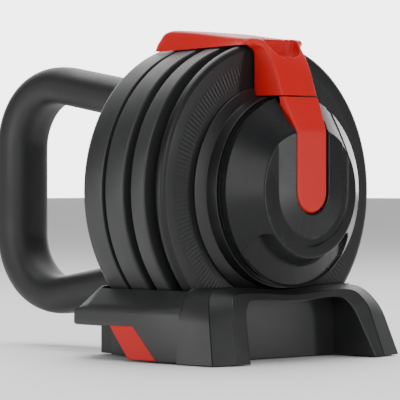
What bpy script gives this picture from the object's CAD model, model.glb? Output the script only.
# Adjustable kettlebell lying on its side in its cradle.
# Metres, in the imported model's frame: +X along the shaft towards the end cap, +Y across, +Z up.
# Outlines and sections are in millimetres from the stack's datum, a point on the shaft's axis.
import math
import bmesh
import bpy
import numpy as np
from mathutils import Matrix, Vector


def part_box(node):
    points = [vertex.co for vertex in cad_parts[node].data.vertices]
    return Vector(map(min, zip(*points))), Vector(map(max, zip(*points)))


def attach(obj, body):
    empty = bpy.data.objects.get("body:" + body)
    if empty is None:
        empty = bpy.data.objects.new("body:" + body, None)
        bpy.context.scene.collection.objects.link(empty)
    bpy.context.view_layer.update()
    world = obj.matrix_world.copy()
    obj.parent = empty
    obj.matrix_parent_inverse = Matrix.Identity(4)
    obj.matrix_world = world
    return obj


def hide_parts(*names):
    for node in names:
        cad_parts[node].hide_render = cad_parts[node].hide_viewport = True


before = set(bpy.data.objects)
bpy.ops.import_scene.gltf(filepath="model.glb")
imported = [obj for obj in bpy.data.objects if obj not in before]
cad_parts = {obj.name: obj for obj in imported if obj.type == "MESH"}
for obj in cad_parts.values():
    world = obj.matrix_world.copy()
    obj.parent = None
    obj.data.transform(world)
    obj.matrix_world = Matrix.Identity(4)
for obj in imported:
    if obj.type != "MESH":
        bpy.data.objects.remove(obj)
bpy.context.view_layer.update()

# ---------------------------------------------------------------------------
# Studio: a long lens level with the shaft, half way between the end cap and the left side. The
# floor is pale matt board; the wall behind is bright and soft panels stand round the front.
MM = 0.001
DATUM_FROM_REAR = 57.5
axle_low, axle_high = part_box("axle_tube")
AXIS_Z = (axle_low[2] + axle_high[2]) / 2
STACK_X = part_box("back_plate_shell")[0][0] + DATUM_FROM_REAR * MM
CAMERA_AZIMUTH, CAMERA_ELEVATION = 45.45, 0.405
CAMERA_AHEAD, CAMERA_ASIDE, CAMERA_ABOVE = 1.4573, -1.4772, 0.0079
CAMERA_LENS, SENSOR_WIDTH = 250.14, 36.0
FLOOR_REACH = 14.0


def studio_camera():
    """Camera offset from the stack; it looks against the back vector that azimuth and elevation give."""
    azimuth, elevation = math.radians(CAMERA_AZIMUTH), math.radians(CAMERA_ELEVATION)
    level = math.cos(elevation)
    back = Vector((math.sin(azimuth) * level, -math.cos(azimuth) * level, math.sin(elevation)))
    place = Vector((STACK_X + CAMERA_AHEAD, CAMERA_ASIDE, AXIS_Z + CAMERA_ABOVE))
    data = bpy.data.cameras.new("studio_camera")
    data.lens, data.sensor_width = CAMERA_LENS, SENSOR_WIDTH
    data.clip_start, data.clip_end = 0.05, 60.0
    camera = bpy.data.objects.new("studio_camera", data)
    right = Vector((0, 0, 1)).cross(back).normalized()
    up = back.cross(right)
    camera.matrix_world = Matrix.Translation(place) @ Matrix((right, up, back)).transposed().to_4x4()
    bpy.context.scene.collection.objects.link(camera)
    bpy.context.scene.camera = camera


def soft_panel(name, place, width, height, watts):
    """Rectangular area light at place, its face turned to the middle of the stack."""
    data = bpy.data.lights.new(name, "AREA")
    data.shape, data.size, data.size_y = "RECTANGLE", width, height
    data.energy = watts
    light = bpy.data.objects.new(name, data)
    light.location = place
    towards = Vector((STACK_X, 0, AXIS_Z)) - Vector(place)
    light.rotation_euler = towards.to_track_quat("-Z", "Y").to_euler()
    bpy.context.scene.collection.objects.link(light)


def pale_floor():
    """Large flat square under the feet."""
    mesh = bpy.data.meshes.new("floor")
    corners = [(x * FLOOR_REACH, y * FLOOR_REACH, 0) for x, y in ((-1, -1), (1, -1), (1, 1), (-1, 1))]
    mesh.from_pydata(corners, [], [(0, 1, 2, 3)])
    floor = bpy.data.objects.new("floor", mesh)
    bpy.context.scene.collection.objects.link(floor)
    board = bpy.data.materials.new("pale_board")
    board.use_nodes = True
    shader = board.node_tree.nodes["Principled BSDF"]
    shader.inputs["Base Color"].default_value = (0.86, 0.86, 0.86, 1)
    shader.inputs["Roughness"].default_value = 0.9
    mesh.materials.append(board)


def add_ramp(tree, value, low, high, to_low=0.0, to_high=1.0):
    """Smooth step of value from low..high to to_low..to_high."""
    node = tree.nodes.new("ShaderNodeMapRange")
    node.interpolation_type = "SMOOTHSTEP"
    for socket, number in (("From Min", low), ("From Max", high), ("To Min", to_low), ("To Max", to_high)):
        node.inputs[socket].default_value = number
    tree.links.new(value, node.inputs["Value"])
    return node.outputs["Result"]


def white_surroundings(dim, bright):
    """White light from all round, dim in front and bright behind: a smooth step of the direction's share
    along the line of sight."""
    world = bpy.data.worlds.new("studio")
    world.use_nodes = True
    tree = world.node_tree
    background = tree.nodes["Background"]
    background.inputs["Color"].default_value = (1, 1, 1, 1)
    share = tree.nodes.new("ShaderNodeVectorMath")
    share.operation = "DOT_PRODUCT"
    share.inputs[1].default_value = (-0.7, 0.7, 0.12)
    tree.links.new(tree.nodes.new("ShaderNodeTexCoord").outputs["Generated"], share.inputs[0])
    strength = add_ramp(tree, share.outputs["Value"], 0.60, 0.97, dim, bright)
    tree.links.new(strength, background.inputs["Strength"])
    bpy.context.scene.world = world


studio_camera()
pale_floor()
white_surroundings(dim=0.04, bright=4.6)
soft_panel("left_panel", (STACK_X - 0.35, -1.35, 0.16), width=0.9, height=0.6, watts=11)
soft_panel("camera_panel", (STACK_X + 1.75, -1.15, 0.62), width=1.3, height=1.6, watts=27)
soft_panel("right_panel", (STACK_X + 1.24, 0.58, 0.15), width=0.16, height=0.5, watts=5.5)
soft_panel("top_panel", (STACK_X - 0.3, 0.3, 2.2), width=2.4, height=2.4, watts=75)

# ---------------------------------------------------------------------------
# Plates 2 and 3: loose weights, each an iron core in a moulded plastic casing with a smooth rim
# and a smaller drum that keeps it off its neighbour. A slot up to the rim lets it drop off the shaft.
DISC_RADIUS = (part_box("plate_4_shell")[1][1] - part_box("plate_4_shell")[0][1]) / 2 / MM
DRUM_RADIUS, SHELL_INSIDE, SHELL_THICKNESS = 100.0, 93.0, 4.0
PLATE_BORE, SLOT_HALF = 14.6, 14.5
MERGE_DISTANCE = 2e-7


def group_with(name, inputs, outputs):
    """Empty shader node group with named number sockets; inputs gives each one's default."""
    group = bpy.data.node_groups.new(name, "ShaderNodeTree")
    for socket, value in inputs:
        made = group.interface.new_socket(socket, in_out="INPUT", socket_type="NodeSocketFloat")
        made.default_value = value
    for socket in outputs:
        group.interface.new_socket(socket, in_out="OUTPUT", socket_type="NodeSocketFloat")
    return group, group.nodes.new("NodeGroupInput"), group.nodes.new("NodeGroupOutput")


def add_noise(tree, source, scale, detail, rough):
    """Noise texture read at the given coordinates; scale is a number or a socket."""
    noise = tree.nodes.new("ShaderNodeTexNoise")
    tree.links.new(source, noise.inputs["Vector"])
    if isinstance(scale, (int, float)):
        noise.inputs["Scale"].default_value = scale
    else:
        tree.links.new(scale, noise.inputs["Scale"])
    noise.inputs["Detail"].default_value = detail
    noise.inputs["Roughness"].default_value = rough
    return noise.outputs["Fac"]


def add_math(tree, operation, first, second):
    """Math node; each argument is a number or a socket."""
    node = tree.nodes.new("ShaderNodeMath")
    node.operation = operation
    for socket, value in zip(node.inputs, (first, second)):
        if isinstance(value, (int, float)):
            socket.default_value = value
        else:
            tree.links.new(value, socket)
    return node.outputs[0]


def build_grain_group():
    """Spark-eroded mould grain: two sizes of noise as a height, broad noise as a change of gloss, and rare
    rubbed flecks in broad patches as a mask."""
    group, given, out = group_with(
        "mould_grain",
        [("Grain Scale", 1400.0), ("Grain Depth", 1.0)],
        ["Height", "Gloss Change", "Rubbed"],
    )
    place = group.nodes.new("ShaderNodeTexCoord").outputs["Object"]
    fine = add_noise(group, place, given.outputs["Grain Scale"], detail=2.0, rough=0.6)
    coarse_scale = add_math(group, "MULTIPLY", given.outputs["Grain Scale"], 0.38)
    coarse = add_noise(group, place, coarse_scale, detail=2.0, rough=0.5)
    both = add_math(group, "ADD", fine, add_math(group, "MULTIPLY", coarse, 0.7))
    height = add_math(group, "MULTIPLY", both, given.outputs["Grain Depth"])
    group.links.new(height, out.inputs["Height"])
    broad = add_noise(group, place, 22.0, detail=4.0, rough=0.6)
    group.links.new(add_ramp(group, broad, 0.3, 0.7, -0.05, 0.06), out.inputs["Gloss Change"])
    flecks = add_ramp(group, add_noise(group, place, 90.0, detail=6.0, rough=0.75), 0.62, 0.78)
    patches = add_ramp(group, add_noise(group, place, 14.0, detail=2.0, rough=0.5), 0.45, 0.7)
    group.links.new(add_math(group, "MULTIPLY", flecks, patches), out.inputs["Rubbed"])
    return group


grain_group = build_grain_group()


def moulded_plastic(name, colour, roughness, grain, bump, depth=1.0, rubbed=0.35, specular=0.5):
    """Grained plastic: relief, uneven gloss, and paler rubbed flecks mixed into the colour."""
    made = bpy.data.materials.new(name)
    made.use_nodes = True
    tree = made.node_tree
    shader = tree.nodes["Principled BSDF"]
    grain_node = tree.nodes.new("ShaderNodeGroup")
    grain_node.node_tree = grain_group
    grain_node.inputs["Grain Scale"].default_value = grain
    grain_node.inputs["Grain Depth"].default_value = depth
    mix = tree.nodes.new("ShaderNodeMix")
    mix.data_type = "RGBA"
    mix.inputs["A"].default_value = (*colour, 1)
    mix.inputs["B"].default_value = (*[channel * 1.5 + 0.01 for channel in colour], 1)
    tree.links.new(add_math(tree, "MULTIPLY", grain_node.outputs["Rubbed"], rubbed), mix.inputs["Factor"])
    tree.links.new(mix.outputs["Result"], shader.inputs["Base Color"])
    gloss = add_math(tree, "ADD", grain_node.outputs["Gloss Change"], roughness)
    tree.links.new(gloss, shader.inputs["Roughness"])
    relief = tree.nodes.new("ShaderNodeBump")
    relief.inputs["Strength"].default_value = bump
    relief.inputs["Distance"].default_value = 0.0004
    tree.links.new(grain_node.outputs["Height"], relief.inputs["Height"])
    tree.links.new(relief.outputs["Normal"], shader.inputs["Normal"])
    shader.inputs["Specular IOR Level"].default_value = specular
    return made


def finish_piece(name, points, quads, look, body, stands_for=(), sharp=32.0, ends=()):
    """Mesh object from points in metres, quads and end faces. Doubles at seams and poles are merged, normals
    are turned outwards, and shading is soft except at edges over sharp degrees."""
    mesh = bpy.data.meshes.new(name)
    mesh.from_pydata(points.tolist(), [], quads.tolist() + list(ends))
    build = bmesh.new()
    build.from_mesh(mesh)
    bmesh.ops.remove_doubles(build, verts=build.verts, dist=MERGE_DISTANCE)
    bmesh.ops.recalc_face_normals(build, faces=build.faces)
    build.to_mesh(mesh)
    build.free()
    mesh.shade_smooth()
    mesh.set_sharp_from_angle(angle=math.radians(sharp))
    mesh.materials.append(look)
    piece = bpy.data.objects.new(name, mesh)
    bpy.context.scene.collection.objects.link(piece)
    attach(piece, body)
    if stands_for:
        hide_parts(*stands_for)
    return piece


def grid_faces(rows, columns, round_rows=False, round_columns=False):
    """Quads of a rows by columns grid of points, closed on itself along either way if asked."""
    i = np.arange(rows if round_rows else rows - 1)[:, None]
    j = np.arange(columns if round_columns else columns - 1)[None, :]
    i2, j2 = (i + 1) % rows, (j + 1) % columns
    quads = np.stack([i * columns + j, i * columns + j2, i2 * columns + j2, i2 * columns + j], axis=-1)
    return quads.reshape(-1, 4)


def column_ends(rows, columns):
    """First and last column of a grid, each as one face."""
    return [list(range(0, rows * columns, columns)), list(range(columns - 1, rows * columns, columns))]


def filleted(corners, radius, steps, closed=True):
    """Polygon with each corner replaced by a quadratic curve that starts and ends radius away from it."""
    corners = np.asarray(corners, float)
    radius = np.broadcast_to(radius, len(corners))
    line = []
    for k, corner in enumerate(corners):
        if (not closed and k in (0, len(corners) - 1)) or radius[k] <= 0:
            line.append(corner)
            continue
        before, after = corners[k - 1] - corner, corners[(k + 1) % len(corners)] - corner
        reach = min(radius[k], 0.49 * np.linalg.norm(before), 0.49 * np.linalg.norm(after))
        start = corner + before / np.linalg.norm(before) * reach
        end = corner + after / np.linalg.norm(after) * reach
        t = np.linspace(0, 1, steps + 1)[:, None]
        line.extend((1 - t) ** 2 * start + 2 * t * (1 - t) * corner + t ** 2 * end)
    return np.array(line)


def about_shaft(x, radius, angle):
    """Points at x and radius about the shaft, the angle counted from straight up towards +Y."""
    return np.stack([x + 0 * angle, radius * np.sin(angle), radius * np.cos(angle)], axis=-1)


def place_mm(points, height=AXIS_Z):
    """Millimetres from the datum to metres in the row frame; with height 0 they count from the floor."""
    return points.reshape(-1, 3) * MM + np.array([STACK_X, 0, height])


def turned_piece(name, profile, look, stands_for, columns, cut_half=None, relief=None):
    """Closed ring: an (x, radius) profile carried round the shaft. With cut_half it is a C whose slot walls
    stand at y = +-cut_half, as each radius starts at its own angle asin(cut_half / radius)."""
    x, radius = profile[:, 0][:, None], profile[:, 1][:, None]
    turn = np.linspace(0, 1, columns, endpoint=cut_half is not None)[None, :]
    start = np.arcsin(np.clip((cut_half or 0) / np.maximum(radius, 0.001), 0, 1))
    angle = start + turn * (2 * np.pi - 2 * start)
    if relief is not None:
        x = x + relief(x, radius, angle)
    points = place_mm(about_shaft(x, radius, angle))
    quads = grid_faces(len(profile), columns, True, cut_half is None)
    ends = column_ends(len(profile), columns) if cut_half is not None else ()
    finish_piece(name, points, quads, look, "kettlebell", stands_for, ends=ends)


def plate_span(node):
    """Rear and front of a shell, in millimetres from the datum."""
    low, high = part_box(node)
    return (low[0] - STACK_X) / MM, (high[0] - STACK_X) / MM


def plate_profile(rear, rim, front, front_round):
    """Closed outline of a plate's shell: a cup open behind, its rim's edges rounded."""
    corners = [
        (rear, SHELL_INSIDE), (rear, DRUM_RADIUS), (rim, DRUM_RADIUS), (rim, DISC_RADIUS),
        (front - front_round * 0.55, DISC_RADIUS), (front, DISC_RADIUS - front_round * 1.1),
        (front, PLATE_BORE), (front - SHELL_THICKNESS, PLATE_BORE), (front - SHELL_THICKNESS, SHELL_INSIDE),
    ]
    return filleted(corners, [0.4, 0.8, 0.5, 1.1, 1.6, 1.2, 0.4, 0.4, 0.4], 4)


rim_charcoal = moulded_plastic("rim_moulding", (0.022, 0.0225, 0.0235), 0.46, grain=1700, bump=0.08)
for node, rim_depth in (("plate_2", 18.6), ("plate_3", 13.7)):
    rear, front = plate_span(node + "_shell")
    outline = plate_profile(rear, front - rim_depth, front, 1.6)
    turned_piece(node + "_casing", outline, rim_charcoal, [node + "_shell"], 300, SLOT_HALF)

# ---------------------------------------------------------------------------
# Plate 4: the front weight, thinner at the rim and satin black, with a ring of fine radial ribs
# pressed into its face near the edge.
RIB_BAND, RIB_COUNT, RIB_DEPTH, RIB_FADE = (84.5, 98.0), 180, 0.14, 1.2
FACE_ROWS, COLUMNS_PER_RIB = 15, 5
rear, plate_4_front = plate_span("plate_4_shell")


def rib_relief(x, radius, angle):
    """Radial ribs on the front face between two radii: a cosine of the angle, faded at both ends."""
    middle, half = sum(RIB_BAND) / 2, (RIB_BAND[1] - RIB_BAND[0]) / 2
    fade = np.clip((half - np.abs(radius - middle)) / RIB_FADE, 0, 1)
    on_front = x > plate_4_front - 1.0
    return -RIB_DEPTH * fade * on_front * (0.5 - 0.5 * np.cos(RIB_COUNT * angle))


face_black = moulded_plastic("face_moulding", (0.010, 0.0103, 0.0108), 0.42, grain=1500, bump=0.08,
                             specular=0.28)
outline = plate_profile(rear, plate_4_front - 6.3, plate_4_front, 3.2)
on_face = (np.abs(outline[:, 0] - plate_4_front) < 1e-6) & (outline[:, 1] < DRUM_RADIUS)
at_face = int(np.argmax(on_face))
face_radii = np.linspace(RIB_BAND[1] + 1.5, RIB_BAND[0] - 1.5, FACE_ROWS)
face_line = np.stack([np.full(FACE_ROWS, plate_4_front), face_radii], axis=-1)
outline = np.vstack([outline[:at_face], face_line, outline[at_face:]])
rib_columns = (RIB_COUNT + 1) * COLUMNS_PER_RIB
turned_piece("plate_4_casing", outline, face_black, ["plate_4_shell"], rib_columns, SLOT_HALF, rib_relief)

# ---------------------------------------------------------------------------
# Back plate: the fixed end disc, plastic over iron, that the handle is bolted to. Two lugs on top
# of it hold the locking arm's hinge pin.
LUG_RADIUS, LUG_MIDDLE_Y, LUG_HALF, LUG_FOOT = 3.4 * MM, 0.020, 0.004, 0.106
rear, front = plate_span("back_plate_shell")
back_outline = filleted(
    [(rear, 0.0), (rear, 100), (rear + 1.2, 105.5), (rear + 4.2, DISC_RADIUS), (front, DISC_RADIUS),
     (front, SHELL_INSIDE), (rear + SHELL_THICKNESS, SHELL_INSIDE), (rear + SHELL_THICKNESS, 0.0)],
    [0, 3, 3, 2.5, 1.1, 0.4, 0.4, 0], 5)
turned_piece("back_plate_casing", back_outline, rim_charcoal, ["back_plate_shell"], 300)
PIN_X = (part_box("arm_pin")[0][0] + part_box("arm_pin")[1][0]) / 2
PIN_Z = (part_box("arm_pin")[0][2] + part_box("arm_pin")[1][2]) / 2


def prism_piece(name, outline, y_low, y_high, look, body, stands_for=()):
    """Outline in XZ carried from y_low to y_high, in metres, its edges softened by a small bevel."""
    count = len(outline)
    walls = [np.column_stack([outline[:, 0], np.full(count, y), outline[:, 1]]) for y in (y_low, y_high)]
    i = np.arange(count)
    after = (i + 1) % count
    sides = np.column_stack([i, after, after + count, i + count])
    ends = [list(range(count)), list(range(count, 2 * count))]
    piece = finish_piece(name, np.vstack(walls), sides, look, body, stands_for, sharp=28, ends=ends)
    soften = piece.modifiers.new("soft_edge", "BEVEL")
    soften.width, soften.segments = 0.0004, 2
    soften.limit_method, soften.angle_limit = "ANGLE", math.radians(28)


lug_turn = np.linspace(0, np.pi, 17)
lug_top = np.column_stack([PIN_X + LUG_RADIUS * np.cos(lug_turn), PIN_Z + LUG_RADIUS * np.sin(lug_turn)])
lug_foot = AXIS_Z + LUG_FOOT
lug_outline = np.vstack([[PIN_X + LUG_RADIUS, lug_foot], lug_top, [PIN_X - LUG_RADIUS, lug_foot]])
for name, side in (("arm_lug_right", -1), ("arm_lug_left", 1)):
    low, high = side * LUG_MIDDLE_Y - LUG_HALF, side * LUG_MIDDLE_Y + LUG_HALF
    prism_piece(name, lug_outline, low, high, rim_charcoal, "kettlebell")

# ---------------------------------------------------------------------------
# Handle: a D-loop of soft-touch plastic moulded over a bent steel bar, its two legs leaning in
# towards the back plate, where they are bolted on, and swelling at their roots.
GRIP_X, GRIP_HALF, LEG_HALF, HALF_WIDTH, CORNER = -248.0, 16.5, 15.0, 20.5, 50.0
ROOT_X, ROOT_Z, LEG_SLOPE, ROOT_FLARE, FLARE_LENGTH = -57.8, 60.5, 0.167, 6.5, 42.0
BADGE_HALF_LENGTH, BADGE_HALF_WIDTH, BADGE_GAP, POCKET_DEPTH = 27.5, 9.0, 0.3, 1.0
SECTION_POWER = 0.8
LEG_ROWS, CORNER_ROWS, AROUND_HANDLE = 40, 34, 72


def handle_line():
    """Centres and directions of the loop: straight leg, round corner, half the grip, and their mirror."""
    lean = math.atan(LEG_SLOPE)
    arc_x = GRIP_X + CORNER
    arc_z = ROOT_Z + LEG_SLOPE * (ROOT_X - arc_x) - CORNER / math.cos(lean)
    outward = np.array([-math.cos(lean), 0, math.sin(lean)])
    length = (ROOT_X - arc_x - CORNER * math.sin(lean)) / math.cos(lean)
    leg = np.array([ROOT_X, 0, ROOT_Z]) + np.linspace(0, 1, LEG_ROWS)[:, None] ** 1.3 * length * outward
    turn = np.linspace(math.pi / 2 - lean, math.pi, CORNER_ROWS)[1:]
    spoke = np.column_stack([np.cos(turn), 0 * turn, np.sin(turn)])
    corner = np.array([arc_x, 0, arc_z]) + CORNER * spoke
    edge = BADGE_HALF_LENGTH + BADGE_GAP
    z = np.array([edge + 0.8, edge + 0.25, edge, edge - 1.5, edge - 5, 14, 6, 0])
    grip = np.column_stack([np.full(len(z), GRIP_X), 0 * z, z])
    centre = np.vstack([leg, corner, grip])
    round_corner = np.column_stack([-spoke[:, 2], spoke[:, 1], spoke[:, 0]])
    down_grip = np.tile([0, 0, -1.0], (len(z), 1))
    direction = np.vstack([np.tile(outward, (LEG_ROWS, 1)), round_corner, down_grip])
    direction[0] = (-1, 0, 0)
    flip = np.array([1, 1, -1])
    return np.vstack([centre, centre[-2::-1] * flip]), np.vstack([direction, direction[-2::-1] * -flip])


def handle_surface():
    """Rounded-square section carried along the loop: |cos| and |sin| to a power under 1, with a shallow
    pocket for the badge pressed into the outside of the grip."""
    centre, direction = handle_line()
    pocket = math.asin(((BADGE_HALF_WIDTH + BADGE_GAP) / HALF_WIDTH) ** (1 / SECTION_POWER))
    wall = 0.012
    around = np.linspace(0, 2 * np.pi, AROUND_HANDLE, endpoint=False)
    pocket_edges = np.pi + np.array([-pocket - wall, -pocket, pocket, pocket + wall])
    around = np.sort(np.concatenate([around, pocket_edges]))
    flare = np.clip(1 - (ROOT_X - centre[:, 0]) / FLARE_LENGTH, 0, 1) ** 1.5
    blend = np.clip((-centre[:, 0] + GRIP_X + 40) / 40, 0, 1)
    widened = (GRIP_HALF - LEG_HALF) * blend ** 2 * (3 - 2 * blend)
    in_plane = LEG_HALF + widened + 0.5 * ROOT_FLARE * flare
    across = HALF_WIDTH + ROOT_FLARE * flare
    bend = lambda value: np.sign(value) * np.abs(value) ** SECTION_POWER
    normal = np.column_stack([-direction[:, 2], 0 * direction[:, 1], direction[:, 0]])
    outward = in_plane[:, None] * bend(np.cos(around))
    points = centre[:, None, :] + normal[:, None, :] * outward[..., None]
    points[..., 1] += across[:, None] * bend(np.sin(around))
    beside_badge = np.abs(centre[:, 2]) <= BADGE_HALF_LENGTH + BADGE_GAP + 0.01
    on_grip = beside_badge & (centre[:, 0] <= GRIP_X + 0.01)
    points[..., 0] += POCKET_DEPTH * (on_grip[:, None] & (np.abs(around - np.pi) <= pocket + 0.001)[None, :])
    return points


def row_ends(rows, columns):
    """First and last row of a grid, each as one face."""
    return [list(range(columns)), list(range((rows - 1) * columns, rows * columns))]


soft_touch = moulded_plastic("soft_touch_grip", (0.010, 0.0103, 0.011), 0.55, grain=900, bump=0.16, depth=1.4)
loop = handle_surface()
rows, columns = loop.shape[:2]
finish_piece("handle_loop", place_mm(loop), grid_faces(rows, columns, False, True), soft_touch,
             "kettlebell", ["handle"], sharp=40, ends=row_ends(rows, columns))

# ---------------------------------------------------------------------------
# Grip plate: a small black plastic badge clipped into the pocket in the back of the grip, with
# fine cross grooves.
GROOVE_PITCH, GROOVE_DEPTH, BADGE_THICKNESS = 3.4, 0.3, 0.85


def slab_faces(rows, columns):
    """Faces of a closed slab from two grids of one size, the first in front: the grids and their wall."""
    front = grid_faces(rows, columns)
    back = front[:, ::-1] + rows * columns
    far_side = np.arange(1, rows) * columns + columns - 1
    last_row = (rows - 1) * columns + np.arange(columns - 2, -1, -1)
    near_side = np.arange(rows - 2, 0, -1) * columns
    rim = np.concatenate([np.arange(columns), far_side, last_row, near_side])
    after = np.roll(rim, -1)
    wall = np.column_stack([rim, rim + rows * columns, after + rows * columns, after])
    return np.vstack([front, back, wall])


def badge_surface():
    """Front and back grids that follow the grip's superellipse; the ends are drawn in a little, and the
    grooves are a squared cosine of the length."""
    u, v = np.meshgrid(np.linspace(-1, 1, 25), np.linspace(-1, 1, 201))
    y, z = u * BADGE_HALF_WIDTH, v * BADGE_HALF_LENGTH
    pull = np.clip((np.abs(v) - 0.93) / 0.07, 0, 1) ** 2
    y = y * (1 - 0.12 * pull)
    curve = 1 - (1 - (np.abs(y) / HALF_WIDTH) ** (2 / SECTION_POWER)) ** (SECTION_POWER / 2)
    face = GRIP_X - GRIP_HALF * (1 - curve) + 0.12
    inside = (np.abs(u) < 0.72) & (np.abs(v) < 0.86)
    groove = GROOVE_DEPTH * inside * (0.5 + 0.5 * np.cos(2 * np.pi * z / GROOVE_PITCH)) ** 2
    front = np.stack([face + groove, y, z], axis=-1)
    back = np.stack([face + BADGE_THICKNESS, y, z], axis=-1)
    return front, back


satin_black = moulded_plastic("satin_black_moulding", (0.008, 0.0082, 0.0086), 0.40, grain=1800, bump=0.05)
front, back = badge_surface()
finish_piece("grip_plate", place_mm(np.stack([front, back])), slab_faces(*front.shape[:2]), satin_black,
             "kettlebell", ["grip_badge"])

# ---------------------------------------------------------------------------
# Cap housing: a satin black moulded drum with a sloping flange, screwed over the front of the
# plates. Its top is cut away flat for the locking arm's bracket.
HOUSING_RADIUS, FLANGE_RADIUS, HOUSING_BORE = 71.3, 79.0, 14.4
NOTCH_HALF, NOTCH_Z = 18.9, 69.2
FACE_SINK = 4.9


def notched_turn(profile, columns=300, inside=41):
    """Closed profile carried round the shaft; in the notch each radius is cut down to NOTCH_Z / cos(angle).
    At each radius the notch spans +-asin(NOTCH_HALF / radius), so a column of points stands on each wall."""
    x, radius = profile[:, 0][:, None], profile[:, 1][:, None]
    wall = np.arcsin(np.clip(NOTCH_HALF / np.maximum(radius, NOTCH_HALF), 0, 1))
    round_rest = wall + np.linspace(0, 1, columns) * (2 * np.pi - 2 * wall)
    across_notch = 2 * np.pi - wall + np.linspace(0, 1, inside) * 2 * wall
    angle = np.concatenate([round_rest, across_notch], axis=-1)
    in_notch = np.arange(columns + inside) >= columns
    floor = NOTCH_Z / np.maximum(np.cos(angle), 0.2)
    cut = np.where(in_notch, np.minimum(radius, floor), radius)
    return about_shaft(x, cut, angle)


rear, front = plate_span("cap_housing")
housing_outline = filleted(
    [(rear, HOUSING_BORE), (rear, FLANGE_RADIUS), (rear + 1.3, FLANGE_RADIUS),
     (rear + 4.8, HOUSING_RADIUS + 0.9), (rear + 5.2, HOUSING_RADIUS),
     (front, HOUSING_RADIUS), (front, HOUSING_RADIUS - 1.6), (front - 1.2, HOUSING_RADIUS - 6),
     (front - FACE_SINK, HOUSING_RADIUS - 12), (front - FACE_SINK, HOUSING_BORE)],
    [0.2, 0.5, 0.6, 0.5, 0.3, 0.5, 0.4, 1, 1, 0.2], 4)
housing = notched_turn(housing_outline)
finish_piece("housing_drum", place_mm(housing), grid_faces(*housing.shape[:2], True, True), satin_black,
             "kettlebell", ["cap_housing"])

# ---------------------------------------------------------------------------
# End cap: a glossier black moulding, a cone cut off flat, from which a low boss rises round the
# tongue's recess. A channel at the top lets the arm in; a crescent is scooped out below the tongue.
CAP_EDGE, CAP_FACE, CAP_RADIUS, FACE_RADIUS = 54.7, 72.0, 70.6, 48.5
CONE_SLOPE = (CAP_FACE - CAP_EDGE) / (CAP_RADIUS - FACE_RADIUS)
RECESS_FLOOR, CHANNEL_FLOOR, FLOOR_HALF = 61.0, 51.8, 16.9
BOSS_HALF, BOSS_SLOPE = 34.0, 0.118
GROOVE_LINE, GROOVE_FOOT, LINE_DEPTH, LINE_BLUR = 40.2, 34.3, 0.75, 0.25
SCOOP_RADII = (FACE_RADIUS + 0.5, 53.6, 55.2, CAP_RADIUS - 2.0, CAP_RADIUS - 0.5)
SCOOP_DEPTHS = (0, 6.6, 6.9, 2.4, 0)
ARC_SHARE = 0.45
SKIRT_RADIUS, CAP_REAR = 69.6, 46.2


def cap_front(y, z):
    """Lower of the cone and the cut: the cut is flat beyond BOSS_HALF of the tongue's middle line and rises
    evenly inside it. On the +Y side a thin step runs between the boss's foot and a line 6 mm outside it."""
    radius = np.hypot(y, z)
    away = np.where(z > 0, np.abs(y), radius)
    cone = CAP_FACE - CONE_SLOPE * (radius - FACE_RADIUS)
    rise = BOSS_HALF - away
    cut = CAP_FACE + BOSS_SLOPE * 0.5 * (rise + np.sqrt(rise ** 2 + 0.05))
    half_way, half_gap = (cone + cut) / 2, (cone - cut) / 2
    side = np.clip((y + 4) / 14, 0, 1)
    inside_line = 0.5 - 0.5 * np.tanh((away - GROOVE_LINE) / LINE_BLUR)
    outside_foot = 0.5 + 0.5 * np.tanh((away - GROOVE_FOOT) / LINE_BLUR)
    step = LINE_DEPTH * side * inside_line * outside_foot
    return half_way - np.sqrt(half_gap ** 2 + 0.03) - step


def scoop_depth(y, z):
    """Depth of the crescent below the cone: a steep wall under the face's edge, then a floor that meets the
    cone again at the rim; its two ends are rounded and steep."""
    radius, turn = np.hypot(y, z), np.degrees(np.arctan2(y, -z))
    floor = np.interp(radius, SCOOP_RADII, SCOOP_DEPTHS)
    reach = 56 - 8 * ((radius - 58) / 11) ** 2
    fade = np.clip((reach - np.abs(turn)) / 1.3, 0, 1)
    return floor * fade * fade * (3 - 2 * fade)


def u_spread(side_count, arc_count):
    """Places along a U from -1 at its left top to 1 at its right top; the arc takes the middle ARC_SHARE."""
    left = np.linspace(-1, -ARC_SHARE, side_count)[:-1]
    arc = np.linspace(-ARC_SHARE, ARC_SHARE, arc_count)
    right = np.linspace(ARC_SHARE, 1, side_count)[1:]
    return np.concatenate([left, arc, right])


def u_climb(a):
    """How far up its straight side a place on the U is, from 0 to 1."""
    return np.clip((np.abs(a) - ARC_SHARE) / (1 - ARC_SHARE), 0, 1)


def u_point(a, half, top):
    """Point on a U of the given half width: a half circle below, then straight sides up to top."""
    side = np.where(a < 0, -1.0, 1.0)
    climb = u_climb(a)
    angle = np.clip(a / ARC_SHARE, -1, 1) * np.pi / 2
    y = np.where(climb > 0, side * half, half * np.sin(angle))
    z = np.where(climb > 0, climb * top, -half * np.cos(angle))
    return y, z


def rim_point(a, radius):
    """Point on a circle round the shaft, its angle spread like the U's, ending beside the channel."""
    last = np.pi - math.asin(NOTCH_HALF / CAP_RADIUS)
    on_arc = np.minimum(np.abs(a) / ARC_SHARE, 1) * np.pi / 2
    turn = np.sign(a) * (on_arc + u_climb(a) * (last - np.pi / 2))
    return radius * np.sin(turn), -radius * np.cos(turn)


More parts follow.
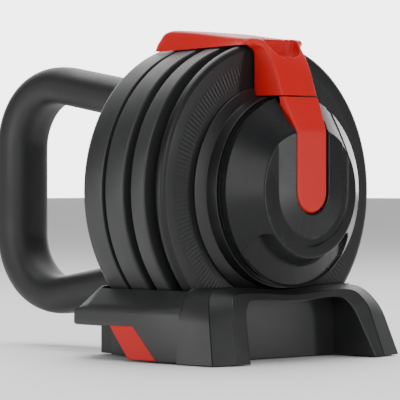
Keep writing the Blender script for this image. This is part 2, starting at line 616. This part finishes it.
def cap_surface():
    """Rows of the cap's front from the middle of the recess floor outwards, each row a U that slowly turns
    into the rim's circle; then the rim's side back to the rear."""
    a = u_spread(110, 180)
    top = math.sqrt(CAP_RADIUS ** 2 - NOTCH_HALF ** 2)
    climb_z = u_climb(a) * top
    floor_half = FLOOR_HALF + (NOTCH_HALF - FLOOR_HALF) * np.clip((climb_z - 46) / 3, 0, 1)
    floor_x = np.interp(climb_z, [0, 49, 60, 70], [RECESS_FLOOR, RECESS_FLOOR, CHANNEL_FLOOR, CHANNEL_FLOOR])
    edge_x = cap_front(*u_point(a, floor_half, top))
    rows = []
    for half, x in ((floor_half * 0.0, floor_x), (floor_half * 0.4, floor_x), (floor_half * 0.8, floor_x),
                    (floor_half - 0.3, floor_x), (floor_half, floor_x + 0.3),
                    (floor_half, edge_x - 0.7), (floor_half + 0.12, edge_x - 0.2)):
        rows.append(np.stack([x, *u_point(a, half, top)], axis=-1))
    rim_y, rim_z = rim_point(a, CAP_RADIUS)
    edge_y, edge_z = u_point(a, floor_half + 0.6, top)
    for share in np.concatenate([np.linspace(0, 0.985, 110), [0.993, 1.0]]):
        y, z = edge_y + (rim_y - edge_y) * share, edge_z + (rim_z - edge_z) * share
        rows.append(np.stack([cap_front(y, z) - scoop_depth(y, z), y, z], axis=-1))
    for x, radius in ((54.2, CAP_RADIUS), (53.6, 70.2), (53.2, 67.6), (47.6, 67.6), (47.0, SKIRT_RADIUS),
                      (CAP_REAR, SKIRT_RADIUS)):
        rows.append(np.stack([x + 0 * a, *rim_point(a, radius)], axis=-1))
    return np.array(rows)


cap_black = moulded_plastic("cap_moulding", (0.011, 0.0113, 0.012), 0.25, grain=1500, bump=0.05,
                            specular=0.20)
cap = cap_surface()
rows, columns = cap.shape[:2]
left_edge, right_edge = column_ends(rows, columns)
cap_ends = [row_ends(rows, columns)[1], left_edge + right_edge[:0:-1]]
finish_piece("cap_cover", place_mm(cap), grid_faces(rows, columns), cap_black,
             "kettlebell", ["end_cap"], sharp=30, ends=cap_ends)

# ---------------------------------------------------------------------------
# Tongue: a red moulded catch lever in the cap's recess. It hangs from a pin under the locking arm
# and bends forward over the cone to lie level with the boss; its edge is chamfered all round.
TONGUE_HALF, TONGUE_TOP_HALF, TONGUE_TOP, TONGUE_DEPTH = 16.1, 18.4, 68.8, 8.8
SWELL_FROM, SWELL_LENGTH = 44, 22
HOLLOW_STARTS, HOLLOW_LENGTH, SHORTEN_FROM, SHORTEN_LENGTH = 34, 26, 62.5, 4
TONGUE_FACE, TONGUE_BEND_Z, TONGUE_LEAN = 73.4, 45.0, 0.47
FRONT_ROWS = ((9.0, 0.0), (4.0, 0.0), (1.9, 0.0), (1.5, 0.08), (0.35, 1.1), (0.06, 1.6), (0.0, 2.2))


def tongue_face(z):
    """Front of the tongue: level with the boss, leaning back above the bend, which is a narrow hyperbola."""
    over = z - TONGUE_BEND_Z
    return TONGUE_FACE - TONGUE_LEAN * 0.5 * (over + np.sqrt(over ** 2 + 3.0))


def tongue_surface():
    """U-shaped rows from the middle of the front out over the chamfer, round the side and back to the middle
    behind. A back row holds its half width, how far its edge is rounded off, how far it hollows higher up,
    and how far it shortens beside the pin."""
    a = u_spread(50, 81)
    swell = np.clip((u_climb(a) * TONGUE_TOP - SWELL_FROM) / SWELL_LENGTH, 0, 1)
    half = TONGUE_HALF + (TONGUE_TOP_HALF - TONGUE_HALF) * swell * swell * (3 - 2 * swell)
    rows = []
    front_rows = [(0 * half, 0.0)] + [(half - inset, drop) for inset, drop in FRONT_ROWS]
    back_rows = [(half, 0.5, 1.0, 2.4), (half - 0.4, 0, 1.0, 2.4), (half - 1.6, 0, 1.0, 2.4),
                 (half - 2.0, 0, 7.4, 0), (0 * half, 0, 7.4, 0)]
    for width, drop in front_rows:
        y, z = u_point(a, width, TONGUE_TOP)
        rows.append(np.stack([tongue_face(z) - drop, y, z], axis=-1))
    for width, round_off, hollow, shorten in back_rows:
        y, z = u_point(a, width, TONGUE_TOP)
        up = np.clip((z - HOLLOW_STARTS) / HOLLOW_LENGTH, 0, 1)
        beside_pin = np.clip((z - SHORTEN_FROM) / SHORTEN_LENGTH, 0, 1)
        depth = TONGUE_DEPTH - round_off - hollow * up - shorten * beside_pin
        rows.append(np.stack([tongue_face(z) - depth, y, z], axis=-1))
    return np.array(rows)


signal_red = moulded_plastic("signal_red_moulding", (0.48, 0.010, 0.008), 0.45, grain=1900, bump=0.04,
                             rubbed=0.15, specular=0.25)
tongue = tongue_surface()
rows, columns = tongue.shape[:2]
left_edge, right_edge = column_ends(rows, columns)
finish_piece("tongue_lever", place_mm(tongue), grid_faces(rows, columns), signal_red,
             "tongue", ["release_tongue"], sharp=24, ends=[left_edge + right_edge[-2:0:-1]])

# ---------------------------------------------------------------------------
# Knuckles: two short red tubes on the tongue and two on the arm, moulded with them, that turn
# about the tongue's steel pin.
TONGUE_PIN_X, TONGUE_PIN_Z = 57.9, 66.2
AROUND_KNUCKLE = 40


def tube_about_pin(name, y_low, y_high, radius, bore, body):
    """Closed profile with rounded corners turned about the pin's line along Y."""
    turn = np.linspace(0, 2 * np.pi, AROUND_KNUCKLE, endpoint=False)
    line = filleted([(y_low, bore), (y_low, radius), (y_high, radius), (y_high, bore)], 0.35, 3)
    x = TONGUE_PIN_X + line[:, 1][:, None] * np.cos(turn)
    z = TONGUE_PIN_Z + line[:, 1][:, None] * np.sin(turn)
    ring = np.stack([x, line[:, 0][:, None] + 0 * turn, z], axis=-1)
    quads = grid_faces(len(line), AROUND_KNUCKLE, True, True)
    finish_piece(name, place_mm(ring), quads, signal_red, body)


for name, inner, outer, radius, bore, body in (("tongue_knuckle", 10.6, 14.0, 3.2, 1.7, "tongue"),
                                               ("arm_knuckle", 6.2, 10.0, 2.8, 1.45, "locking_arm")):
    tube_about_pin(name + "_right", -outer, -inner, radius, bore, body)
    tube_about_pin(name + "_left", inner, outer, radius, bore, body)

# ---------------------------------------------------------------------------
# Locking arm: one red moulding. A skirted strap lies along the top of the stack and turns down
# in front of it as a bracket over the cap; a finger bowl is sunk into the bend.
RIM_CLEAR, UNDERSIDE_CLEAR, HOLLOW_TOP, HOLLOW_FROM = 110.9, 111.9, 118.1, -41
BOWL_X, BOWL_HALF_LENGTH, BOWL_HALF_WIDTH, BOWL_DEPTH, BOWL_BRIM = 43.2, 10.3, 16.8, 20.0, 113.4
BRACKET_HALF, BRACKET_REAR = 18.5, 31.9
STEPS_AROUND, STEPS_ALONG, CROWN_POINTS = 6, 7, 4
STRAP_STATIONS = (  # x, then half width at the foot and at the shoulder, then height of the crown
    (-49.0, 38.0, 32.5, 119.8), (-48.6, 38.2, 32.7, 120.1), (-46, 39, 33.5, 120.9),
    (-42.6, 38.7, 33.3, 120.7), (-41, 38.5, 33.2, 120.5), (-33, 37.7, 32.7, 119.8),
    (-20, 36.5, 32, 118.8), (-8, 35.1, 30.9, 117.4), (5, 33.5, 29.5, 115.6),
    (15, 32.1, 28.5, 114.4), (24, 31, 27.5, 113.4), (30, 30.2, 26.6, 112.8))
BEND_STATIONS = (  # middle of the front, half width, front corner, back corner, height of the back's middle
    ((36.0, 112.4), 28.3, (35.6, 110.2), (33.2, 107.4), 110.0),
    ((39.8, 111.6), 26.8, (38.9, 108.9), (34.2, 106.0), 107.0),
    ((41.4, 110.2), 24.6, (39.6, 106.8), (33.0, 105.0), 105.0),
    ((43.4, 108.3), 19.8, (42.6, 105.6), (32.0, 103.6), 103.0),
    ((47.2, 103.8), 18.7, (46.6, 102.6), (BRACKET_REAR, 100.5), 100.0))
BRACKET_STATIONS = (  # x and z of the front, z of the back
    (50.6, 98, 95), (54.2, 90.5, 88), (57.2, 82.2, 80), (59.8, 74.8, 74.5), (61.0, 71.2, 71.2),
    (61.3, 70.1, 70.2), (61.4, 69.8, 69.9))


def strap_half(x, foot, shoulder, crown):
    """Half section of the strap: crown's middle, shoulder, skirt, foot, then its underside's middle."""
    foot_z = math.sqrt(RIM_CLEAR ** 2 - foot ** 2)
    if x < HOLLOW_FROM:
        inner = [(shoulder - 2.4, crown - 4.5), (shoulder * 0.5, HOLLOW_TOP), (0, HOLLOW_TOP)]
    else:
        inner = [(y, math.sqrt(UNDERSIDE_CLEAR ** 2 - y ** 2)) for y in (shoulder - 3, shoulder * 0.5, 0)]
    slope = (foot - 0.4 - shoulder) / (foot_z + 1.2 - crown + 3)
    outer = [
        (0, crown), (shoulder * 0.35, crown), (shoulder - 6.5, crown - 0.15), (shoulder - 2.2, crown - 0.7),
        (shoulder - 0.7, crown - 1.6), (shoulder + 0.1, crown - 3.2),
        ((shoulder + foot) / 2 - 0.1, (crown - 3 + foot_z) / 2), (foot - 0.25 + slope, foot_z + 1.4),
        (foot, foot_z + 0.1), (foot - 2.2, foot_z + 0.4),
    ]
    return [(x, y, z) for y, z in outer + inner]


def bracket_half(face, half, edge, rear, level):
    """Half section of the bracket: front's middle, front corner, back corner, then the back's middle."""
    (fx, fz), (ex, ez), (rx, rz) = face, edge, rear
    return [
        (fx, 0, fz), (fx, half * 0.35, fz), (fx - 0.1, half - 5, fz), (fx - 0.35, half - 1.6, fz - 0.1),
        (ex - 0.1, half - 0.45, ez), (ex - 1.3, half - 0.02, ez),
        (ex + (rx - ex) * 0.5, half, ez + (rz - ez) * 0.5), (rx + 1.2, half, rz),
        (rx + 0.1, half - 0.1, rz), (rx, half - 1.2, rz),
        (rx, half - 5, level), (rx, half * 0.5, level), (rx, 0, level),
    ]


def mirrored_ring(half):
    """Closed rings from half rings that start and end on the middle plane: each and its mirror image."""
    return np.concatenate([half, half[:, -2:0:-1] * np.array([1, -1, 1])], axis=1)


def spline(cage, steps, closed):
    """Uniform cubic B-spline along the first axis; an open one has its end points repeated to reach them."""
    if closed:
        padded = np.concatenate([cage[-1:], cage, cage[:2]])
    else:
        padded = np.concatenate([cage[:1], cage[:1], cage, cage[-1:], cage[-1:]])
    t = (np.arange(steps) / steps).reshape(-1, 1, 1, 1)
    rising, falling = 3 * t ** 3 - 6 * t ** 2 + 4, -3 * t ** 3 + 3 * t ** 2 + 3 * t + 1
    weights = ((1 - t) ** 3 / 6, rising / 6, falling / 6, t ** 3 / 6)
    spans = len(padded) - 3
    parts = sum(weight * padded[None, k:k + spans] for k, weight in enumerate(weights))
    line = parts.transpose(1, 0, 2, 3).reshape(-1, *cage.shape[1:])
    return line if closed else np.concatenate([line, cage[-1:]])


def arm_cage():
    """Control points: strap sections from the rear forward, rows round the bend, bracket sections downward.
    The rear skirts reach back as two wings, whose tops are drawn down."""
    rows = [strap_half(*station) for station in STRAP_STATIONS]
    rows += [bracket_half(*station) for station in BEND_STATIONS]
    rows += [bracket_half((x, z), BRACKET_HALF, (x - 0.4, z - 0.05), (BRACKET_REAR, back), back)
             for x, z, back in BRACKET_STATIONS]
    half = np.array(rows, float)
    half[:3, 3:10, 0] = np.array([-52.6, -52.0, -48.5])[:, None]
    half[:4, 3:6, 2] -= np.array([4.0, 3.6, 1.6, 0.5])[:, None]
    return mirrored_ring(half)


def arm_surface():
    """Spline surface of the cage. The bowl is a squarish ellipsoid sunk from above, and the crown's middle
    runs down to it as a shallow hollow."""
    around = spline(arm_cage().transpose(1, 0, 2), STEPS_AROUND, True).transpose(1, 0, 2)
    arm = spline(around, STEPS_ALONG, False)
    x, y, z = arm[..., 0], arm[..., 1], arm[..., 2]
    column = np.arange(arm.shape[1])
    outer = (np.minimum(column, len(column) - column) <= STEPS_AROUND * CROWN_POINTS)[None, :]
    top = outer & (x > 28) & (z > 92)
    share = 1 - np.abs((x - BOWL_X) / BOWL_HALF_LENGTH) ** 2.6 - np.abs(y / BOWL_HALF_WIDTH) ** 2.6
    inside = np.clip(share, 0, 1)
    far_above = 40 * (inside <= 0)
    bowl = BOWL_BRIM - BOWL_DEPTH * np.sqrt(inside) + far_above
    towards_bowl = np.clip((x - 8) / 18, 0, 1) ** 2 * np.clip((17 - np.abs(y)) / 3, 0, 1)
    run_in = 0.8 * towards_bowl * (outer & (x < 36))
    lowered = np.where(top, np.minimum(z, bowl), z) - np.where(top & (bowl < z), 0, run_in)
    return np.stack([x, y, lowered], axis=-1)


arm = arm_surface()
rows, columns = arm.shape[:2]
finish_piece("arm_moulding", place_mm(arm), grid_faces(rows, columns, False, True), signal_red,
             "locking_arm", ["lock_arm"], sharp=34, ends=row_ends(rows, columns))

# ---------------------------------------------------------------------------
# Front hood of the cradle: a charcoal arch that the cap overhangs. Its side, the sloping band round
# it and the front panel are separate mouldings with dark seams between; the top dips under the cap.
HOOD_REAR = 33.0
HOOD_ROUND = [0, 14, 12, 12, 16, 16]
SEAM_SINK, SEAM_HALF, SEAM_NEAR = 1.1, 0.5, 1.8


def mirrored_line(half):
    """Filleted line through half its corners, given from the foot to the middle, and their mirror images."""
    half = np.array(half, float)
    corners = np.vstack([half * np.array([1, -1, 1]), half[-2::-1]])
    return filleted(corners, HOOD_ROUND + HOOD_ROUND[-2::-1], 8, closed=False)


def along(start, end, distance):
    """Points a set distance from start towards end, row by row."""
    step = end - start
    return start + step / np.linalg.norm(step, axis=1, keepdims=True) * distance


def seam(before, corner, after, inside):
    """Rows of a groove along a corner line: its bottom, sunk inwards, between its two lips."""
    return [along(corner, before, SEAM_HALF), along(corner, inside, SEAM_SINK),
            along(corner, after, SEAM_HALF), along(corner, after, SEAM_NEAR), (corner + after) / 2]


charcoal = moulded_plastic("charcoal_moulding", (0.019, 0.0194, 0.0202), 0.42, grain=1500, bump=0.10)
side_rear = mirrored_line([
    (HOOD_REAR, 99, 1), (HOOD_REAR, 95.9, 37.8), (HOOD_REAR, 84.5, 54.1),
    (HOOD_REAR, 60, 54.1), (35.7, 38, 54.1), (35.7, 0, 51.4)])
side_front = mirrored_line([
    (69.7, 99, 1), (58.5, 91.5, 38), (48, 81, 53.2), (46, 60, 54), (45.6, 40, 53.6), (46.5, 0, 50.8)])
band_front = mirrored_line([
    (74.4, 77.7, 1), (62.5, 72, 40), (56.3, 65, 49.6), (55.2, 56, 50.6), (54.6, 34, 50.4), (55.4, 0, 48.0)])
mouth = mirrored_line([
    (75.9, 66.3, 1), (62.5, 57.5, 36), (58.5, 50, 44.8), (58.0, 42, 45.6), (57.6, 26, 45.0), (58.4, 0, 42.6)])
mouth_rear = mirrored_line([
    (HOOD_REAR, 66.3, 1), (HOOD_REAR, 66.0, 40), (HOOD_REAR, 61, 45.6),
    (HOOD_REAR, 50, 45.8), (HOOD_REAR, 30, 45.0), (HOOD_REAR, 0, 43.8)])
core = (side_rear + side_front + band_front + mouth + mouth_rear) / 5
hood = np.array([
    side_rear, side_rear * 0.67 + side_front * 0.33, side_rear * 0.33 + side_front * 0.67,
    along(side_front, side_rear, SEAM_NEAR), *seam(side_rear, side_front, band_front, core),
    along(band_front, side_front, SEAM_NEAR), *seam(side_front, band_front, mouth, core),
    along(mouth, band_front, 1.6), along(mouth, band_front, 0.6), along(mouth, core, 0.35),
    along(mouth, mouth_rear, 0.6), along(mouth, mouth_rear, 1.6), mouth * 0.6 + mouth_rear * 0.4, mouth_rear])
rows, columns = hood.shape[:2]
finish_piece("hood_arch", place_mm(hood, height=0), grid_faces(rows, columns, True, False), charcoal,
             "base", ["front_hood"], sharp=40, ends=column_ends(rows, columns))

# ---------------------------------------------------------------------------
# Cradle tray: a charcoal moulded trough under the plates. Its long sides fold over softly into
# sloping shoulders; at the rear it stands on a pedestal and runs out as a shelf under the handle.
WELL_RADIUS, FLANGE_ROOM = 111.6, 79.7
HALF_TRAY, PEDESTAL_HALF = 99.0, 62.0
SIDE_TOP, FOLD_Z, FOLD_IN, SHOULDER_Z, SHOULDER_IN, FOLD_ROUND = 29.0, 38.6, 0.4, 52.4, 13.2, 7.5
WALL_TOP, REAR_LOW, LEG_ROOM_HALF, LEG_ROOM_SLOPE = 54.0, 38, 32, 1.714
LEAN, LEAN_FROM, LEAN_LENGTH = 7.0, -5, 63
FOOT, SHELF, NO_LID, LIP = 1, 25, 99, 36.5


def tray_section(x, under, under_side, half, lid, kind):
    """Half section from the underside's middle round the side, the fold and the shoulder to the middle of the
    top: the well's arc, a wall with room for the housing's flange, or the rear top with room for the handle's
    leg, cut off at lid. Towards the front the sides lean in more and more."""
    side = [(0, under), (PEDESTAL_HALF - 1.0, under), (PEDESTAL_HALF - 0.2, under_side + 0.2),
            (PEDESTAL_HALF + 0.6, under_side), (half - 2.6, under_side),
            (half - 0.5, under_side + 1.1), (half, under_side + 2.6), (half, SIDE_TOP)]
    shoulder = half - SHOULDER_IN
    fold = filleted([(half, SIDE_TOP), (half - FOLD_IN, FOLD_Z), (shoulder, SHOULDER_Z)],
                    FOLD_ROUND, 8, closed=False)[1:-1]
    spread = (np.linspace(half - 16, 48, 12), np.linspace(46, 32, 5), np.linspace(29, 0, 12))
    y = np.concatenate([[shoulder, half - 14.4], *spread])
    axis = AXIS_Z / MM
    if kind == "well":
        well = axis - np.sqrt(WELL_RADIUS ** 2 - y ** 2)
        z = np.maximum(np.minimum(well, SHOULDER_Z), 0)
        z[:2] = (52.2, min(well[1], 52.0))
    else:
        flange = axis - np.sqrt(np.maximum(FLANGE_ROOM ** 2 - y ** 2, 0))
        rear_top = np.clip(REAR_LOW + (y - LEG_ROOM_HALF) * LEG_ROOM_SLOPE, REAR_LOW, WALL_TOP)
        z = np.minimum(WALL_TOP, flange) if kind == "wall" else rear_top
        z[:2] = (SHOULDER_Z, 52.9)
    line = np.vstack([side, fold, np.column_stack([y, z])])
    lean = LEAN * np.clip((x - LEAN_FROM) / LEAN_LENGTH, 0, 1) ** 1.6
    up_side = np.clip(line[:, 1] / 38, 0, 1) * np.clip((54 - line[:, 1]) / 16, 0, 1)
    line[:, 0] -= lean * np.where(line[:, 0] > 80, up_side, 0)
    line[:, 1] = np.minimum(line[:, 1], lid)
    return np.column_stack([np.full(len(line), x), line])


tray_stations = [(x, FOOT, FOOT, HALF_TRAY, NO_LID, "wall") for x in (33.0, 30.9)]
tray_stations += [(x, FOOT, FOOT, HALF_TRAY, NO_LID, "well") for x in (30.7, 24, 17, 10, 3, -5, -16.2)]
tray_stations += [(x, FOOT, SHELF, HALF_TRAY, NO_LID, "well") for x in (-37.2, -59.7)]
tray_stations += [(x, FOOT, SHELF, HALF_TRAY, lid, "rear") for x, lid in (
    (-59.8, NO_LID), (-61.6, NO_LID), (-62.4, 53.8), (-75.0, 37.4), (-75.9, LIP))]
tray_stations += [(x, under, under, half, lid, "rear") for x, under, half, lid in (
    (-76.0, SHELF, 98.8, LIP), (-77.0, SHELF, 97.8, LIP), (-102.2, SHELF, 62.6, LIP),
    (-103.4, 25.4, 60.8, 35.9), (-103.9, 26.2, 60.0, 35.0))]
tray = mirrored_ring(np.array([tray_section(*station) for station in tray_stations]))
rows, columns = tray.shape[:2]
finish_piece("tray_moulding", place_mm(tray, height=0), grid_faces(rows, columns, False, True), charcoal,
             "base", ["base_tray"], sharp=30, ends=row_ends(rows, columns))

# ---------------------------------------------------------------------------
# Side inserts: slanted red plastic panels pressed into the tray's sides, one on each, that run
# down to its bottom edge.
INSERT_BACK = 96.4
INSERT_CORNERS = [(-37.0, 26.0), (-12.5, 26.0), (11.4, 1.9), (-17.2, 1.9)]
insert_outline = np.array(INSERT_CORNERS) * MM + np.array([STACK_X, 0])
for name, side in (("left", 1), ("right", -1)):
    low, high = sorted(side * edge * MM for edge in (INSERT_BACK, HALF_TRAY + 0.3))
    prism_piece("side_insert_cover_" + name, insert_outline, low, high, signal_red,
                "base", ["side_insert_" + name])

# ---------------------------------------------------------------------------
# Rear block, pads and feet: a plain satin black block under the rear shelf, rubber strips in the
# well and four rubber feet. They keep their modelled shape, with slightly rounded edges.


def dress(node, look, edge=0.0):
    """Gives a node its material, and a small bevel on its outer edges if asked."""
    piece = bpy.data.objects[node]
    piece.data.materials.clear()
    piece.data.materials.append(look)
    if edge:
        weld = piece.modifiers.new("join_points", "WELD")
        weld.merge_threshold = 1e-6
        soften = piece.modifiers.new("soft_edge", "BEVEL")
        soften.width, soften.segments, soften.use_clamp_overlap = edge, 2, True
        soften.limit_method, soften.angle_limit = "ANGLE", math.radians(30)


rubber_black = moulded_plastic("rubber", (0.010, 0.010, 0.010), 0.82, grain=700, bump=0.2, depth=1.5)
dress("rear_foot_block", satin_black, 0.0008)
for side in ("left", "right"):
    dress("cradle_pad_" + side, rubber_black)
    dress("foot_front_" + side, rubber_black, 0.0005)
    dress("foot_rear_" + side, rubber_black, 0.0005)

# ---------------------------------------------------------------------------
# Iron cores: the weights inside the plates, rough sand castings with a few brown stains.


def metal(name, colour, roughness, grain, streak, tarnish):
    """Metal: stretched noise varies the gloss and gives the relief, broad noise stains the colour."""
    made = bpy.data.materials.new(name)
    made.use_nodes = True
    tree = made.node_tree
    shader = tree.nodes["Principled BSDF"]
    shader.inputs["Metallic"].default_value = 0.9
    place = tree.nodes.new("ShaderNodeTexCoord").outputs["Object"]
    stretch = tree.nodes.new("ShaderNodeMapping")
    stretch.inputs["Scale"].default_value = streak
    tree.links.new(place, stretch.inputs["Vector"])
    lines = add_noise(tree, stretch.outputs["Vector"], grain, detail=4.0, rough=0.6)
    stain = add_ramp(tree, add_noise(tree, place, 45.0, detail=5.0, rough=0.65), 0.42, 0.72)
    mix = tree.nodes.new("ShaderNodeMix")
    mix.data_type = "RGBA"
    mix.inputs["A"].default_value = (*colour, 1)
    mix.inputs["B"].default_value = (*tarnish, 1)
    tree.links.new(stain, mix.inputs["Factor"])
    tree.links.new(mix.outputs["Result"], shader.inputs["Base Color"])
    gloss = add_ramp(tree, lines, 0.3, 0.7, roughness - 0.08, roughness + 0.12)
    tree.links.new(gloss, shader.inputs["Roughness"])
    relief = tree.nodes.new("ShaderNodeBump")
    relief.inputs["Strength"].default_value = 0.15
    relief.inputs["Distance"].default_value = 0.0003
    tree.links.new(lines, relief.inputs["Height"])
    tree.links.new(relief.outputs["Normal"], shader.inputs["Normal"])
    return made


cast_iron = metal("cast_iron", (0.10, 0.098, 0.095), 0.62, 900, (1, 1, 1), (0.06, 0.045, 0.036))
for plate in ("back_plate", "plate_2", "plate_3", "plate_4"):
    dress(plate + "_core", cast_iron)

# ---------------------------------------------------------------------------
# Axle, lock bar and handle core: ground steel, its fine lines running along the shaft.
ground_steel = metal("ground_steel", (0.50, 0.50, 0.51), 0.30, 1500, (0.06, 1, 1), (0.36, 0.35, 0.33))
for node in ("axle_tube", "lock_bar", "handle_core"):
    dress(node, ground_steel)

# ---------------------------------------------------------------------------
# Fasteners: zinc plated bolts, washer, screws and pins, and the tongue's spring.
zinc_plate = metal("zinc_plate", (0.56, 0.57, 0.60), 0.34, 700, (1, 1, 1), (0.44, 0.45, 0.47))
for node in ("handle_bolt_upper", "handle_bolt_lower", "tie_bolt", "tie_washer",
             "cap_screw_1", "cap_screw_2", "cap_screw_3", "arm_pin", "tongue_pin", "tongue_spring",
             "rear_foot_screw_left", "rear_foot_screw_right"):
    dress(node, zinc_plate)
